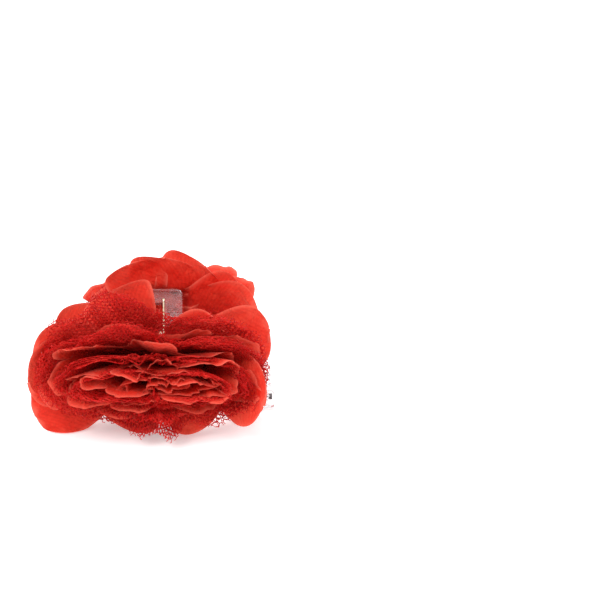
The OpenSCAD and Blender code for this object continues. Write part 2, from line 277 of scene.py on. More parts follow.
def new_piece(name, points, faces, flower, material, node=None):
    """A mesh object that rides on its flower's jaw, if it has one, and may stand for a CAD node."""
    mesh = bpy.data.meshes.new(name)
    mesh.from_pydata(points.tolist(), [], faces if isinstance(faces, list) else faces.tolist())
    mesh.materials.append(material)
    mesh.shade_smooth()
    piece = bpy.data.objects.new(name, mesh)
    bpy.context.scene.collection.objects.link(piece)
    if flower:
        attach(piece, BODY[flower])
    if node:
        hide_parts(node)
    return piece


def grid_faces(rows, columns, first=0):
    """Quads between the points of a rows by columns grid."""
    i, j = np.meshgrid(np.arange(rows - 1), np.arange(columns - 1), indexing="ij")
    a = (first + i * columns + j).ravel()
    return np.stack([a, a + columns, a + columns + 1, a + 1], axis=1)


def add_uv(mesh, uv):
    """Gives each corner of a mesh the flat place of its point."""
    layer = mesh.uv_layers.new(name="UVMap")
    corner = np.empty(len(mesh.loops), np.int32)
    mesh.loops.foreach_get("vertex_index", corner)
    layer.data.foreach_set("uv", uv[corner].astype(np.float32).ravel())


def add_shades(mesh, rim, painted_shade):
    """Stores for the material how near each point is to the cut edge, where a highlight is painted,
    and how much shade is painted on it towards the hub, each from 0 to 1."""
    for name, values in (("rim", rim), ("painted_shade", painted_shade)):
        layer = mesh.attributes.new(name, "FLOAT", "POINT")
        layer.data.foreach_set("value", values.astype(np.float32).ravel())


def bumps(angle, places):
    """The sum of smooth bumps at (direction, spread, size), directions and spreads in degrees."""
    total = 0
    for direction, spread, size in places:
        away = np.angle(np.exp(1j * (angle - math.radians(direction))))
        total = total + size * np.exp(-((away / math.radians(spread)) ** 2))
    return total


# --------------------------------------------------------------------------------- petals and hearts


def petal_width(t, tip):
    """A petal's width at share t of its length, about 1 where it is widest: narrow at the hub and
    round or square at the tip, but never quite nothing."""
    least, widest = 0.04, 0.715
    narrowed = np.clip(t, 0.001, 1) ** NARROW_HUB
    return narrowed * np.sqrt(np.clip(1 - t**tip, least * least, 1)) / widest


def wobble(rng, t, v, waves):
    """A smooth random field over a petal, about -1 to 1, with that many waves across it."""
    total = 0
    for _ in range(3):
        across, along = rng.uniform(0.5, 1) * waves, rng.uniform(-1, 1.5)
        phase = rng.uniform(0, FULL_PHASE)
        total = total + np.sin(math.pi * (across * v + along * t) + phase) / 2
    return total


def petal(rng, spec, wave, lift):
    """One petal: its grids of p, q and h, its flat place in millimetres, its nearness to the rim, its
    painted shade towards the hub, its length and its area."""
    angle, bend = math.radians(spec["angle"]), math.radians(spec["bend"])
    length, mean = arc(spec["reach"], spec["height"], bend)
    rows = 1 - (1 - np.linspace(0, 1, PETAL_ROWS)) ** 1.5
    t, v = np.meshgrid(rows, np.linspace(-1, 1, PETAL_COLUMNS), indexing="ij")
    outline = petal_width(t, spec.get("tip", ROUND_TIP))
    uneven, notch_depth, notches = 0.05, 0.02, 2.5
    width = spec["half"] * outline * (1 + uneven * wobble(rng, t, np.sign(v), 1))
    notch = np.minimum(outline, 1) * np.sin(notches * math.pi * v + rng.uniform(0, FULL_PHASE))
    along = t + notch_depth * t**4 * notch
    reach, height, slope = mid_line(along, length, mean, bend)

    # The petal is cupped, waves towards its rim, is crimped along its length, and rolls at its edges.
    curl = spec["cup"] / spec["half"]
    across = np.sin(curl * v * width) / curl
    rise = (1 - np.cos(curl * v * width)) / curl
    waves, crimps, crimp_height = 2.2, 6, 0.5
    rise += wave * t**2.2 * (0.35 + 0.65 * v * v) * wobble(rng, t, v, waves)
    rise += crimp_height * width / spec["half"] * (1 - 0.5 * t) * wobble(rng, t * 0.3, v, crimps)
    tip_roll, side_roll = rng.uniform(0.2, 1.6), rng.uniform(-0.6, 0.9)
    rise -= tip_roll * smooth(t, 0.8, 1) + side_roll * smooth(abs(v), 0.7, 1) * t
    twist = math.radians(spec["twist"]) * t
    side = across * np.cos(twist) - rise * np.sin(twist)
    out = across * np.sin(twist) + rise * np.cos(twist)

    r = reach - out * np.sin(slope)
    h = lift * smooth(t, 0, 0.5) + height + out * np.cos(slope)
    p = r * math.cos(angle) - side * math.sin(angle)
    q = r * math.sin(angle) + side * math.cos(angle)
    uv = np.stack([v * width, t * length], axis=-1).reshape(-1, 2)
    # Nearness to the cut edge, where the material paints a highlight, and painted shade, darker towards
    # the hub, where the petals lie in shade.
    rim = np.maximum(smooth(np.abs(v), 0.86, 1), smooth(t, 0.95, 1)).ravel()
    painted_shade = 0.4 * (1 - smooth(t, 0.15, 0.7)).ravel()
    area = 2 * length * spec["half"] * float(np.trapz(outline[:, 0], rows))
    return keep_clear(p, q, h, 0), uv, rim, painted_shade, length, area


def petal_bed(places):
    """The jaw-side petals' heights on a grid over p and q, smoothed, from their (p, q, h) grids."""
    bed = np.zeros((2 * BED_HALF + 1, 2 * BED_HALF + 1))
    for p, q, h in places:
        cell = (np.rint(x / BED_CELL).astype(int) + BED_HALF for x in (p, q))
        np.maximum.at(bed, tuple(np.clip(x, 0, 2 * BED_HALF) for x in cell), h)
    for axis in (0, 1, 0, 1):
        bed = (np.roll(bed, 1, axis) + bed + np.roll(bed, -1, axis)) / 3
    return bed


def rest_on(bed, p, q, h, layer):
    """Heights of a layer's points once those above and below the hub lie clear of the petals."""
    x, y = (np.clip(v / BED_CELL + BED_HALF, 0, 2 * BED_HALF - 0.001) for v in (p, q))
    i, j = x.astype(int), y.astype(int)
    u, v = x - i, y - j
    near_row = bed[i, j] * (1 - v) + bed[i, j + 1] * v
    next_row = bed[i + 1, j] * (1 - v) + bed[i + 1, j + 1] * v
    under = near_row * (1 - u) + next_row * u
    least = under + REST_GAP + REST_STEP * layer
    share = smooth(np.abs(q) / np.maximum(np.hypot(p, q), 1), 0.2, 0.5)
    return h + share * np.clip(least - h, 0, REST_MOST)


def outer_disc(flower, rng, material):
    """The satin disc next to the jaw: die-cut petals, crimped and gathered at their hub, with every
    second one a little farther out. Gives the piece and the bed that the next layers rest on."""
    points, faces, uvs, rims, painted_shades, places = [], [], [], [], [], []
    longest, area = 0, 0
    for k, spec in enumerate(OUTER_PETALS[flower]):
        lift = 0.5 * (k % 2)
        (p, q, h), uv, rim, painted_shade, length, cut = petal(rng, spec, OUTER_WAVE, lift)
        faces.append(grid_faces(PETAL_ROWS, PETAL_COLUMNS, len(points) * PETAL_ROWS * PETAL_COLUMNS))
        places.append((p, q, h))
        points.append(in_world(flower, p, q, h))
        uvs.append(uv)
        rims.append(rim)
        painted_shades.append(painted_shade)
        longest, area = max(longest, length), area + cut
    piece = new_piece(
        f"{flower}_{SATIN}_1", np.vstack(points), np.vstack(faces), flower, material,
        f"{flower}_petals_1",
    )
    add_uv(piece.data, np.vstack(uvs))
    add_shades(piece.data, np.concatenate(rims), np.concatenate(painted_shades))
    return piece, petal_bed(places)


def even_directions(disc, count, flower):
    """Directions whose points on the disc's rim are evenly spaced, with the last as the first."""
    fine = np.linspace(0, 2 * math.pi, 4 * 360 + 1)
    reach, _ = tip_place(disc, fine, flower)
    rim = np.stack([reach * np.cos(fine), reach * np.sin(fine)], axis=1)
    run = np.concatenate([[0], np.cumsum(np.linalg.norm(np.diff(rim, axis=0), axis=1))])
    return np.interp(np.linspace(0, run[-1], count + 1), run, fine)


def ripple(rng, share, waves):
    """A sum of sine waves, each given as its whole count over the rim."""
    return sum(
        np.sin(2 * math.pi * count * share + rng.uniform(0, FULL_PHASE)) / math.sqrt(count)
        for count in waves
    )


def gathered_disc(flower, index, rng, material, bed):
    """An inner satin disc: one cloth with a scalloped rim, gathered into waves."""
    disc, layer = INNER_DISCS[index - 1], 2 * index
    angle = even_directions(disc, DISC_COLUMNS, flower)
    round_share = np.linspace(0, 1, DISC_COLUMNS + 1)
    reach, height = tip_place(disc, angle, flower)
    bend = layer_bend(angle)
    length, mean = arc(reach, height, bend)
    scallop = np.abs(np.cos(math.pi * (disc["count"] * round_share + 0.5 * (index % 2))))
    lobes = bumps(angle, LOBES.get((flower, index), ()))
    # The rim is calmer to the side and on the lobes. Its waves are wide, then frilled near the edge,
    # then fine crimps all the way in.
    calm = (0.4 + 0.6 * np.abs(np.sin(angle)) ** 0.8) * (1 - 3.5 * np.clip(lobes, 0, 0.2))
    uneven, shear, wave_height, frill_height, crimp_height = 0.05, 0.05, 1.5, 1.3, 0.8
    cut = 1 - disc["cut"] * (1 - np.sqrt(scallop)) + uneven * ripple(rng, round_share, (4, 7, 19)) * calm
    cut = cut + lobes
    t = np.linspace(0.04, 1, DISC_ROWS)[:, None] * np.ones(DISC_COLUMNS + 1)
    wide = ripple(rng, round_share, (5, 8, 11)) + 0.6 * ripple(rng, round_share, (17, 26))
    frill = ripple(rng, round_share, (34, 47, 61))
    r, h, slope = mid_line(t * cut, length, mean, bend)
    out = disc["wave"] * t**1.7 * wide * wave_height * (0.3 + 0.7 * calm)
    out = out + frill_height * t**5 * frill * calm
    out = out + crimp_height * t * ripple(rng, round_share, (90,)) * calm
    r, h = r - out * np.sin(slope), layer * HUB_STEP + h + out * np.cos(slope)
    turn = angle + shear * t * ripple(rng, round_share, (6, 13, 23)) + math.radians(TILT[flower][index])
    p, q = r * np.cos(turn), r * np.sin(turn)
    p, q, h = keep_clear(p, q, rest_on(bed, p, q, h, layer), layer)
    points = in_world(flower, p, q, h)
    piece = new_piece(
        f"{flower}_{SATIN}_{index + 1}", points, grid_faces(DISC_ROWS, DISC_COLUMNS + 1), flower,
        material, f"{flower}_petals_{index + 1}",
    )
    run = t * cut * length
    add_uv(piece.data, np.stack([run * np.cos(angle), run * np.sin(angle)], axis=-1).reshape(-1, 2))
    # A painted highlight near the cut edge, and painted shade towards the hub, where the folds lie in
    # shade.
    add_shades(piece.data, smooth(t, 0.93, 1), 0.8 * (1 - smooth(t, 0.4, 0.85)))
    return piece


def heart(flower, rng, material):
    """The gathered middle: one satin ribbon that winds outwards, its rim ruffled."""
    f, s = np.meshgrid(np.linspace(0, 1, HEART_COLUMNS), np.linspace(0, 1, HEART_ROWS), indexing="ij")
    start, skew, flatness, foot_drop = 0.4, 0.6, 0.8, 2.0
    around = 2 * math.pi * HEART_TURNS * f + start
    spread = 0.1 + 0.9 * f
    flare = 1 + (0.1 + 0.25 * f) * s**1.5
    ruffle = s**1.6 * (1.1 + 0.7 * f)
    push = ruffle * (ripple(rng, f, (13, 19)) * 2.2 + 1.6 * s**3 * ripple(rng, f, (43, 57)))
    p = HEART_P[0] + HEART_P[1] * spread * flare * np.cos(around) + push * np.cos(around + skew)
    q = HEART_Q[0] + HEART_Q[1] * spread * flare * np.sin(around)
    q = q + push * np.sin(around + skew) * flatness
    top = RIBBON * (1 - 0.1 * f**2) + 0.8 * ripple(rng, f, (7, 11))
    h = HEART_FOOT + s * top - foot_drop * f * (1 - s)
    points = in_world(flower, p, q, h)
    piece = new_piece(
        f"{flower}_{HEART}", points, grid_faces(HEART_COLUMNS, HEART_ROWS), flower,
        material, f"{flower}_ruffle",
    )
    cells = points.reshape(HEART_COLUMNS, HEART_ROWS, 3)
    middle = cells[:, HEART_ROWS // 2]
    path = np.concatenate([[0], np.cumsum(np.linalg.norm(np.diff(middle, axis=0), axis=1))])
    add_uv(piece.data, np.stack([np.repeat(path / MM, HEART_ROWS), (s * RIBBON).ravel()], axis=1))
    # A painted highlight at the ribbon's top edge, and painted shade towards its foot, deep in the
    # gathered middle.
    add_shades(piece.data, smooth(s, 0.9, 1), 0.9 * (1 - smooth(s, 0.4, 0.95)))
    return piece


# ---------------------------------------------------------------------------------------------- net


def net_flat(rng, radius):
    """Nodes and threads of a jittered six-sided net that covers a circle, in millimetres."""
    step = NET_CELL / math.sqrt(3)
    count = int(radius / NET_CELL) + 2
    i, j = np.meshgrid(np.arange(-count, count + 1), np.arange(-count, count + 1), indexing="ij")
    a = np.stack([(i + j * 0.5) * NET_CELL, j * NET_CELL * math.sqrt(3) / 2], axis=-1)
    b = a + np.array([0, step])
    nodes = np.concatenate([a.reshape(-1, 2), b.reshape(-1, 2)])
    nodes = nodes + rng.normal(0, NET_JITTER * NET_CELL, nodes.shape)
    # Threads join each second node to its own first one and to two more in the next row.
    size = 2 * count + 1
    ii, jj = (x.ravel() for x in np.meshgrid(np.arange(1, size), np.arange(size - 1), indexing="ij"))
    own = ii * size + jj
    second = own + size * size
    threads = [np.stack([first, second], axis=1) for first in (own, own + 1, own + 1 - size)]
    return nodes, np.concatenate(threads)


def rim_share(rng, angle, bulges):
    """How far a torn rim reaches in each direction, about 1, standing out at the bulges."""
    mean, uneven = 0.95, 0.08
    total = 0
    for waves in (2, 3, 5, 8, 13):
        total = total + rng.uniform(0.4, 1) * np.sin(waves * angle + rng.uniform(0, FULL_PHASE)) / waves
    return mean + uneven * total + bumps(angle, bulges)


def thread_walls(rng, start, end, along):
    """Points and faces of three-sided threads between starts and ends, along unit directions."""
    over = np.cross(along, rng.normal(size=along.shape))
    over /= np.linalg.norm(over, axis=1)[:, None]
    third = np.cross(along, over)
    ring = []
    for k in range(3):
        a = 2 * math.pi * k / 3
        ring.append((math.cos(a) * over + math.sin(a) * third) * NET_THREAD * MM / math.sqrt(3))
    ring = np.stack(ring, axis=1)
    points = np.concatenate([start[:, None] + ring, end[:, None] + ring], axis=1).reshape(-1, 3)
    first = 6 * np.arange(len(start))[:, None]
    walls = [first + np.array([[k, (k + 1) % 3, 3 + (k + 1) % 3, 3 + k]]) for k in range(3)]
    return points, np.concatenate(walls)


def net_disc(flower, index, rng, material, bed):
    """Crumpled net between two satin discs, with a torn rim and loose threads."""
    disc, layer = NET_DISCS[index], 2 * index + 1
    starts, ends, longest, kept = [], [], 0, 0
    steps = np.radians(np.arange(0, 360, 3))
    rim_reach, rim_height = tip_place(disc, steps, flower)
    rim_bend = layer_bend(steps)
    for ply in range(NET_PLIES):
        share = rim_share(rng, steps, NET_BULGES.get((flower, index), ()))
        lengths = arc(rim_reach, rim_height, rim_bend)[0] * share
        nodes, threads = net_flat(rng, lengths.max())
        radius, angle = np.hypot(nodes[:, 0], nodes[:, 1]), np.arctan2(nodes[:, 1], nodes[:, 0])
        turned = angle % (2 * math.pi)
        length, reach, height, bend = (
            np.interp(turned, steps, values, period=2 * math.pi)
            for values in (lengths, rim_reach, rim_height, rim_bend)
        )
        inside = radius[threads].max(axis=1) / length[threads[:, 0]]
        loss = np.where(inside > NET_RIM_FROM, NET_RIM_LOSS, NET_INNER_LOSS)
        keep = (inside < 1) & (rng.uniform(size=len(threads)) > loss)
        threads = threads[keep & (radius[threads].min(axis=1) > NET_HOLE)]

        bend = not_straight(bend)
        whole, mean = arc(reach, height, bend)
        r, h, slope = mid_line(radius / whole, whole, mean, bend)
        gather = disc["wave"] * (radius / NET_WIDE) ** 1.3
        lift = 0
        for waves in NET_WAVES:
            phase = rng.uniform(0, FULL_PHASE)
            lift = lift + gather * np.sin(waves * angle + phase) / math.sqrt(waves) * NET_WAVE_HEIGHT
        for size, amount in NET_CRUMPLES:
            a, b, c = rng.uniform(0, FULL_PHASE, 3)
            lift = lift + amount * np.sin(nodes[:, 0] / size * 2 + a) * np.sin(nodes[:, 1] / size * 2 + b)
            swirl = NET_SWIRL * amount / np.maximum(radius, 6)
            angle = angle + swirl * np.sin(radius / size * 2 + c)
        lift = np.maximum(lift, NET_LOWEST) + NET_PLY_GAP * ply
        r = r - lift * np.sin(slope)
        h = layer * HUB_STEP + h + lift * np.cos(slope)
        turn = angle + math.radians(sum(TILT[flower][index:index + 2]) / 2)
        p, q = r * np.cos(turn), r * np.sin(turn)
        p, q, h = keep_clear(p, q, rest_on(bed, p, q, h, layer + 0.5 * ply), layer)
        points = in_world(flower, p, q, h)
        starts.append(points[threads[:, 0]])
        ends.append(points[threads[:, 1]])
        kept += len(threads)
        longest = max(longest, lengths.max())
    start, end = np.vstack(starts), np.vstack(ends)
    along = end - start
    span = np.linalg.norm(along, axis=1)
    fine = (span > 0.01 * MM) & (span < NET_LONGEST * MM)
    points, walls = thread_walls(rng, start[fine], end[fine], along[fine] / span[fine, None])
    piece = new_piece(
        f"{flower}_{NET}_{index + 1}", points, walls, flower, material,
        f"{flower}_lace_{index + 1}",
    )
    # Each cell of the net has three threads of its own.
    return piece


# ---------------------------------------------------------------------------------------- materials


class Nodes:
    """A material's node tree, with short calls to add and join its nodes."""

    def __init__(self, name):
        """Makes an empty material of that name, with its output."""
        self.material = bpy.data.materials.new(name)
        self.material.use_nodes = True
        self.tree = self.material.node_tree
        self.tree.nodes.clear()
        self.output = self.tree.nodes.new("ShaderNodeOutputMaterial")

    def add(self, kind, settings=None, **inputs):
        """A new node, its settings given as attributes and its inputs as values or as sockets."""
        node = self.tree.nodes.new("ShaderNode" + kind)
        for key, value in (settings or {}).items():
            setattr(node, key, value)
        for key, value in inputs.items():
            socket = node.inputs[key.replace("_", " ")]
            if isinstance(value, bpy.types.NodeSocket):
                self.tree.links.new(value, socket)
            else:
                socket.default_value = value
        return node

    def ramp(self, fac, stops):
        """A colour ramp through (place, colour) stops."""
        node = self.add("ValToRGB", Fac=fac)
        elements = node.color_ramp.elements
        while len(elements) < len(stops):
            elements.new(0.5)
        for element, (place, colour) in zip(elements, stops):
            element.position, element.color = place, (*colour, 1)
        return node.outputs["Color"]

    def mix(self, fac, a, b, mode="MIX"):
        """A mix of two colours, each a socket or a plain one."""
        node = self.tree.nodes.new("ShaderNodeMix")
        node.data_type, node.blend_type = "RGBA", mode
        for index, value in ((0, fac), (6, a), (7, b)):
            if isinstance(value, bpy.types.NodeSocket):
                self.tree.links.new(value, node.inputs[index])
            else:
                node.inputs[index].default_value = value if index == 0 else (*value, 1)
        return node.outputs[2]

    def show(self, shader):
        """Joins the shader to the output and gives back the finished material."""
        self.tree.links.new(shader.outputs[0], self.output.inputs["Surface"])
        return self.material


# The materials' colours: single ones, and ramps as (place, colour) stops.
SATIN_SHADES = ((0.3, (0.58, 0.014, 0.007)), (0.5, (0.73, 0.030, 0.015)), (0.68, (0.84, 0.075, 0.042)))
# Painted shade: a dark red for the cloth deep in the folds. Painted highlight: a paler red for the cut
# edge, where light shines through. Last, the colour of the light that the cloth lets through.
SATIN_PAINTED_SHADE, SATIN_RIM_HIGHLIGHT, SATIN_GLOW = (0.30, 0.002, 0.002), (0.90, 0.15, 0.10), (0.85, 0.08, 0.05)
SATIN_SHEEN, NET_SHEEN = (1.0, 0.45, 0.36, 1.0), (1.0, 0.3, 0.2, 1.0)
NET_SHADES = ((0.35, (0.42, 0.003, 0.005)), (0.5, (0.62, 0.010, 0.009)), (0.66, (0.82, 0.045, 0.032)))
PLASTIC_SHADES = ((0.3, (0.95, 0.90, 0.915)), (0.7, (0.99, 0.96, 0.965)))
PIN_SHADES = ((0.3, (0.55, 0.55, 0.56)), (0.7, (0.78, 0.78, 0.78)))
SPRING_SHADES = ((0.3, (0.52, 0.43, 0.28)), (0.7, (0.86, 0.76, 0.56)))
FELT_SHADES = ((0.3, (0.20, 0.002, 0.004)), (0.7, (0.42, 0.012, 0.014)))
GLUE_SHADES = ((0.3, (0.86, 0.80, 0.66)), (0.7, (0.95, 0.91, 0.80)))
FLOOR_SHADES = ((0.3, (0.93, 0.93, 0.93)), (0.7, (0.96, 0.96, 0.96)))


def satin_material():
    """Ribbed and woven cloth that lets light through, with painted shade in its folds and a painted
    highlight at its rim.
    """
    n = Nodes("red_satin")
    uv = n.add("UVMap", dict(uv_map="UVMap")).outputs["UV"]
    place = n.add("TexCoord").outputs["Object"]
    rim = n.add("Attribute", dict(attribute_name="rim")).outputs["Fac"]
    painted_shade = n.add("Attribute", dict(attribute_name="painted_shade")).outputs["Fac"]
    rib = n.add("TexWave", dict(bands_direction="DIAGONAL"), Vector=uv, Scale=0.3, Distortion=1.2,
                Detail=2.0, Detail_Scale=0.6)
    weave = n.add("TexNoise", Vector=uv, Scale=2.4, Detail=3.0, Roughness=0.6)
    cloud = n.add("TexNoise", Vector=place, Scale=80.0, Detail=6.0, Roughness=0.65)
    base = n.ramp(cloud.outputs["Fac"], SATIN_SHADES)
    ribbed = n.mix(0.12, base, rib.outputs["Color"], "OVERLAY")
    woven = n.mix(0.2, ribbed, weave.outputs["Color"], "OVERLAY")
    # Painted shade darkens the cloth towards the hubs, where the folds lie in shade.
    with_painted_shade = n.mix(painted_shade, woven, SATIN_PAINTED_SHADE)
    # A painted highlight pales the cloth at its cut edge, where light shines through the thin rim.
    colour = n.mix(rim, with_painted_shade, SATIN_RIM_HIGHLIGHT)
    crease = n.add("TexNoise", Vector=place, Scale=220.0, Detail=3.0, Roughness=0.5, Distortion=0.8)
    soft = n.add("Bump", Height=crease.outputs["Fac"], Strength=0.9, Distance=0.0018)
    fine = n.add("Bump", Height=rib.outputs["Fac"], Normal=soft.outputs["Normal"], Strength=0.2,
                 Distance=0.0002)
    bump = n.add("Bump", Height=weave.outputs["Fac"], Normal=fine.outputs["Normal"], Strength=0.35,
                 Distance=0.0003)
    # The sheen fades out where the shade is painted.
    sheen = n.add("MapRange", Value=painted_shade, To_Min=0.22, To_Max=0.0)
    cloth = n.add("BsdfPrincipled", Base_Color=colour, Roughness=0.55, Normal=bump.outputs["Normal"],
                  Sheen_Weight=sheen.outputs["Result"], Sheen_Roughness=0.4,
                  Sheen_Tint=SATIN_SHEEN, Specular_IOR_Level=0.08)
    # The light let through the cloth is darkened by the same painted shade.
    glow = n.mix(painted_shade, SATIN_GLOW, SATIN_PAINTED_SHADE)
    through = n.add("BsdfTranslucent", Color=glow, Normal=bump.outputs["Normal"])
    both = n.add("MixShader", Fac=0.35)
    n.tree.links.new(cloth.outputs[0], both.inputs[1])
    n.tree.links.new(through.outputs[0], both.inputs[2])
    return n.show(both)


def net_material():
    """Fine red threads, uneven in colour."""
    n = Nodes("red_net")
    place = n.add("TexCoord").outputs["Object"]
    thread = n.add("TexNoise", Vector=place, Scale=420.0, Detail=2.0)
    cloud = n.add("TexNoise", Vector=place, Scale=60.0, Detail=2.0)
    mixed = n.mix(0.5, thread.outputs["Color"], cloud.outputs["Color"])
    colour = n.ramp(mixed, NET_SHADES)
    bump = n.add("Bump", Height=thread.outputs["Fac"], Strength=0.4, Distance=0.0001)
    shader = n.add("BsdfPrincipled", Base_Color=colour, Roughness=0.4, Normal=bump.outputs["Normal"],
                   Sheen_Weight=0.1, Sheen_Roughness=0.4, Sheen_Tint=NET_SHEEN,
                   Specular_IOR_Level=0.12)
    return n.show(shader)


def plastic_material():
    """Clear moulded plastic, very slightly wavy."""
    n = Nodes("clear_plastic")
    place = n.add("TexCoord").outputs["Object"]
    flow = n.add("TexNoise", Vector=place, Scale=90.0, Detail=2.0, Distortion=0.4)
    colour = n.ramp(flow.outputs["Fac"], PLASTIC_SHADES)
    rough = n.add("MapRange", Value=flow.outputs["Fac"], To_Min=0.03, To_Max=0.10)
    bump = n.add("Bump", Height=flow.outputs["Fac"], Strength=0.15, Distance=0.0006)
    shader = n.add("BsdfPrincipled", Base_Color=colour, Roughness=rough.outputs["Result"],
                   Normal=bump.outputs["Normal"], Transmission_Weight=0.96, IOR=1.49,
                   Specular_IOR_Level=0.6)
    return n.show(shader)


def metal_material(name, shades, rough, stretch):
    """Steel with a fine grain that is drawn out by the stretch along each axis."""
    n = Nodes(name)
    place = n.add("TexCoord").outputs["Object"]
    drawn = n.add("Mapping", Vector=place, Scale=stretch)
    grain = n.add("TexNoise", Vector=drawn.outputs["Vector"], Scale=300.0, Detail=3.0)
    colour = n.ramp(grain.outputs["Fac"], shades)
    spread = n.add("MapRange", Value=grain.outputs["Fac"], To_Min=rough, To_Max=rough + 0.15)
    bump = n.add("Bump", Height=grain.outputs["Fac"], Strength=0.1, Distance=0.00005)
    shader = n.add("BsdfPrincipled", Base_Color=colour, Metallic=1.0, Normal=bump.outputs["Normal"],
                   Roughness=spread.outputs["Result"])
    return n.show(shader)


def felt_material():
    """Dark red felt with fine fibres."""
    n = Nodes("red_felt")
    place = n.add("TexCoord").outputs["Object"]
    fibre = n.add("TexNoise", Vector=place, Scale=900.0, Detail=4.0, Distortion=1.5)
    colour = n.ramp(fibre.outputs["Fac"], FELT_SHADES)
    bump = n.add("Bump", Height=fibre.outputs["Fac"], Strength=0.8, Distance=0.0003)
    shader = n.add("BsdfPrincipled", Base_Color=colour, Roughness=0.9, Normal=bump.outputs["Normal"],
                   Sheen_Weight=0.6, Sheen_Roughness=0.5)
    return n.show(shader)


def glue_material():
    """Cloudy, slightly yellow glue."""
    n = Nodes("hot_glue")
    place = n.add("TexCoord").outputs["Object"]
    cloud = n.add("TexNoise", Vector=place, Scale=250.0, Detail=2.0)
    colour = n.ramp(cloud.outputs["Fac"], GLUE_SHADES)
    bump = n.add("Bump", Height=cloud.outputs["Fac"], Strength=0.3, Distance=0.0004)
    shader = n.add("BsdfPrincipled", Base_Color=colour, Roughness=0.32, Normal=bump.outputs["Normal"],
                   Transmission_Weight=0.45, IOR=1.48)
    return n.show(shader)


def floor_material():
    """A pale floor that glows a little, so that it shows almost white."""
    n = Nodes("pale_floor")
    place = n.add("TexCoord").outputs["Object"]
    grain = n.add("TexNoise", Vector=place, Scale=30.0, Detail=3.0)
    colour = n.ramp(grain.outputs["Fac"], FLOOR_SHADES)
    return n.show(n.add("BsdfPrincipled", Base_Color=colour, Roughness=0.9, Specular_IOR_Level=0.1,
                        Emission_Color=(1.0, 1.0, 1.0, 1.0), Emission_Strength=0.3))


# ----------------------------------------------------------------------------------------- fittings

# How the small solids are rounded, and how fast their unevenness changes along a millimetre.
RELAX_FACTOR, RELAX_TIMES = 0.5, 6
UNEVEN_PACE = 0.9
# The spring: its wire's and coil's radii in millimetres, where its coil starts and how far it winds
# in degrees, how far in and down from the CAD box's edge its leg tips lie, as shares of the wire's
# radius, and its points along the coil, along a leg and round the wire.
WIRE, COIL = 0.4, 2.0
COIL_START, COIL_SWEEP = 235, 2950
TIP_IN, TIP_DOWN = 0.57, 0.82
COIL_POINTS, LEG_POINTS, WIRE_SIDES = 230, 14, 12


def softened(node, name, flower, material, rng, voxel, uneven):
    """A remeshed, rounded and slightly uneven copy of a small CAD solid, which it stands for."""
    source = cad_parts[node]
    mesh = source.data.copy()
    mesh.name = name
    mesh.transform(source.matrix_world)
    mesh.materials.clear()
    mesh.materials.append(material)
    piece = bpy.data.objects.new(name, mesh)
    bpy.context.scene.collection.objects.link(piece)
    remesh = piece.modifiers.new("remesh", "REMESH")
    remesh.mode, remesh.voxel_size = "VOXEL", voxel * MM
    relax = piece.modifiers.new("relax", "SMOOTH")
    relax.factor, relax.iterations = RELAX_FACTOR, RELAX_TIMES
    bpy.context.view_layer.update()
    made = bpy.data.meshes.new_from_object(piece.evaluated_get(bpy.context.evaluated_depsgraph_get()))
    piece.modifiers.clear()
    piece.data = made
    made.name = name
    made.shade_smooth()
    points = np.empty(3 * len(made.vertices))
    made.vertices.foreach_get("co", points)
    points = points.reshape(-1, 3)
    phase = rng.uniform(0, FULL_PHASE, 3)
    shift = np.sin(points[:, [1, 2, 0]] / MM * UNEVEN_PACE + phase) * uneven * MM
    made.vertices.foreach_set("co", (points + shift * [1, 0.3, 1]).ravel())
    made.update()
    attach(piece, BODY[flower])
    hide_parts(node)
    return piece


def tube(path, radius, sides, across):
    """Points and faces of a round wire along a path, its section set out from a fixed direction."""
    heading = np.gradient(path, axis=0)
    heading /= np.linalg.norm(heading, axis=1)[:, None]
    u = np.cross(heading, across)
    u /= np.linalg.norm(u, axis=1)[:, None]
    w = np.cross(u, heading)
    a = 2 * math.pi * np.arange(sides) / sides
    rings = path[:, None] + radius * (
        np.cos(a)[None, :, None] * u[:, None] + np.sin(a)[None, :, None] * w[:, None]
    )
    count = len(path)
    faces = []
    for i in range(count - 1):
        for j in range(sides):
            k = (j + 1) % sides
            faces.append([i * sides + j, (i + 1) * sides + j, (i + 1) * sides + k, i * sides + k])
    faces.append(list(range(sides))[::-1])
    faces.append([(count - 1) * sides + j for j in range(sides)])
    return rings.reshape(-1, 3), faces


def spring(material):
    """The torsion spring: two legs that lie on the grips and about eight turns round the pin."""
    high = np.array(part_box("torsion_spring")[1]) / MM
    half = high[0] - WIRE
    f = np.linspace(0, 1, COIL_POINTS)
    turn = math.radians(COIL_START) + math.radians(COIL_SWEEP) * f
    x = -half + 2 * half * f
    body = np.stack([x, COIL * np.cos(turn), HINGE_Z + COIL * np.sin(turn)], axis=1)
    tip_y, tip_z = high[1] - WIRE * TIP_IN, high[2] - WIRE * TIP_DOWN
    near = np.linspace(0, 1, LEG_POINTS)[:, None]
    leg_in = np.array([-half, -tip_y, tip_z]) * (1 - near) + body[0] * near
    leg_out = body[-1] * (1 - near) + np.array([half, tip_y, tip_z]) * near
    path = np.vstack([leg_in[:-1], body, leg_out[1:]])
    points, faces = tube(path * MM, WIRE * MM, WIRE_SIDES, np.array([1.0, 0, 0]))
    piece = new_piece("spring_wire", points, faces, None, material, "torsion_spring")
    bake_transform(piece)
    return piece


# ------------------------------------------------------------------------------------------- assembly

satin, net = satin_material(), net_material()
felt, glue, plastic = felt_material(), glue_material(), plastic_material()
steel = metal_material("pin_steel", PIN_SHADES, rough=0.18, stretch=(0.05, 1, 1))
spring_steel = metal_material("spring_steel", SPRING_SHADES, rough=0.2, stretch=(1, 1, 1))

for node, material in (("jaw_front", plastic), ("jaw_back", plastic), ("hinge_pin", steel)):
    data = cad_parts[node].data
    data.materials.clear()
    data.materials.append(material)

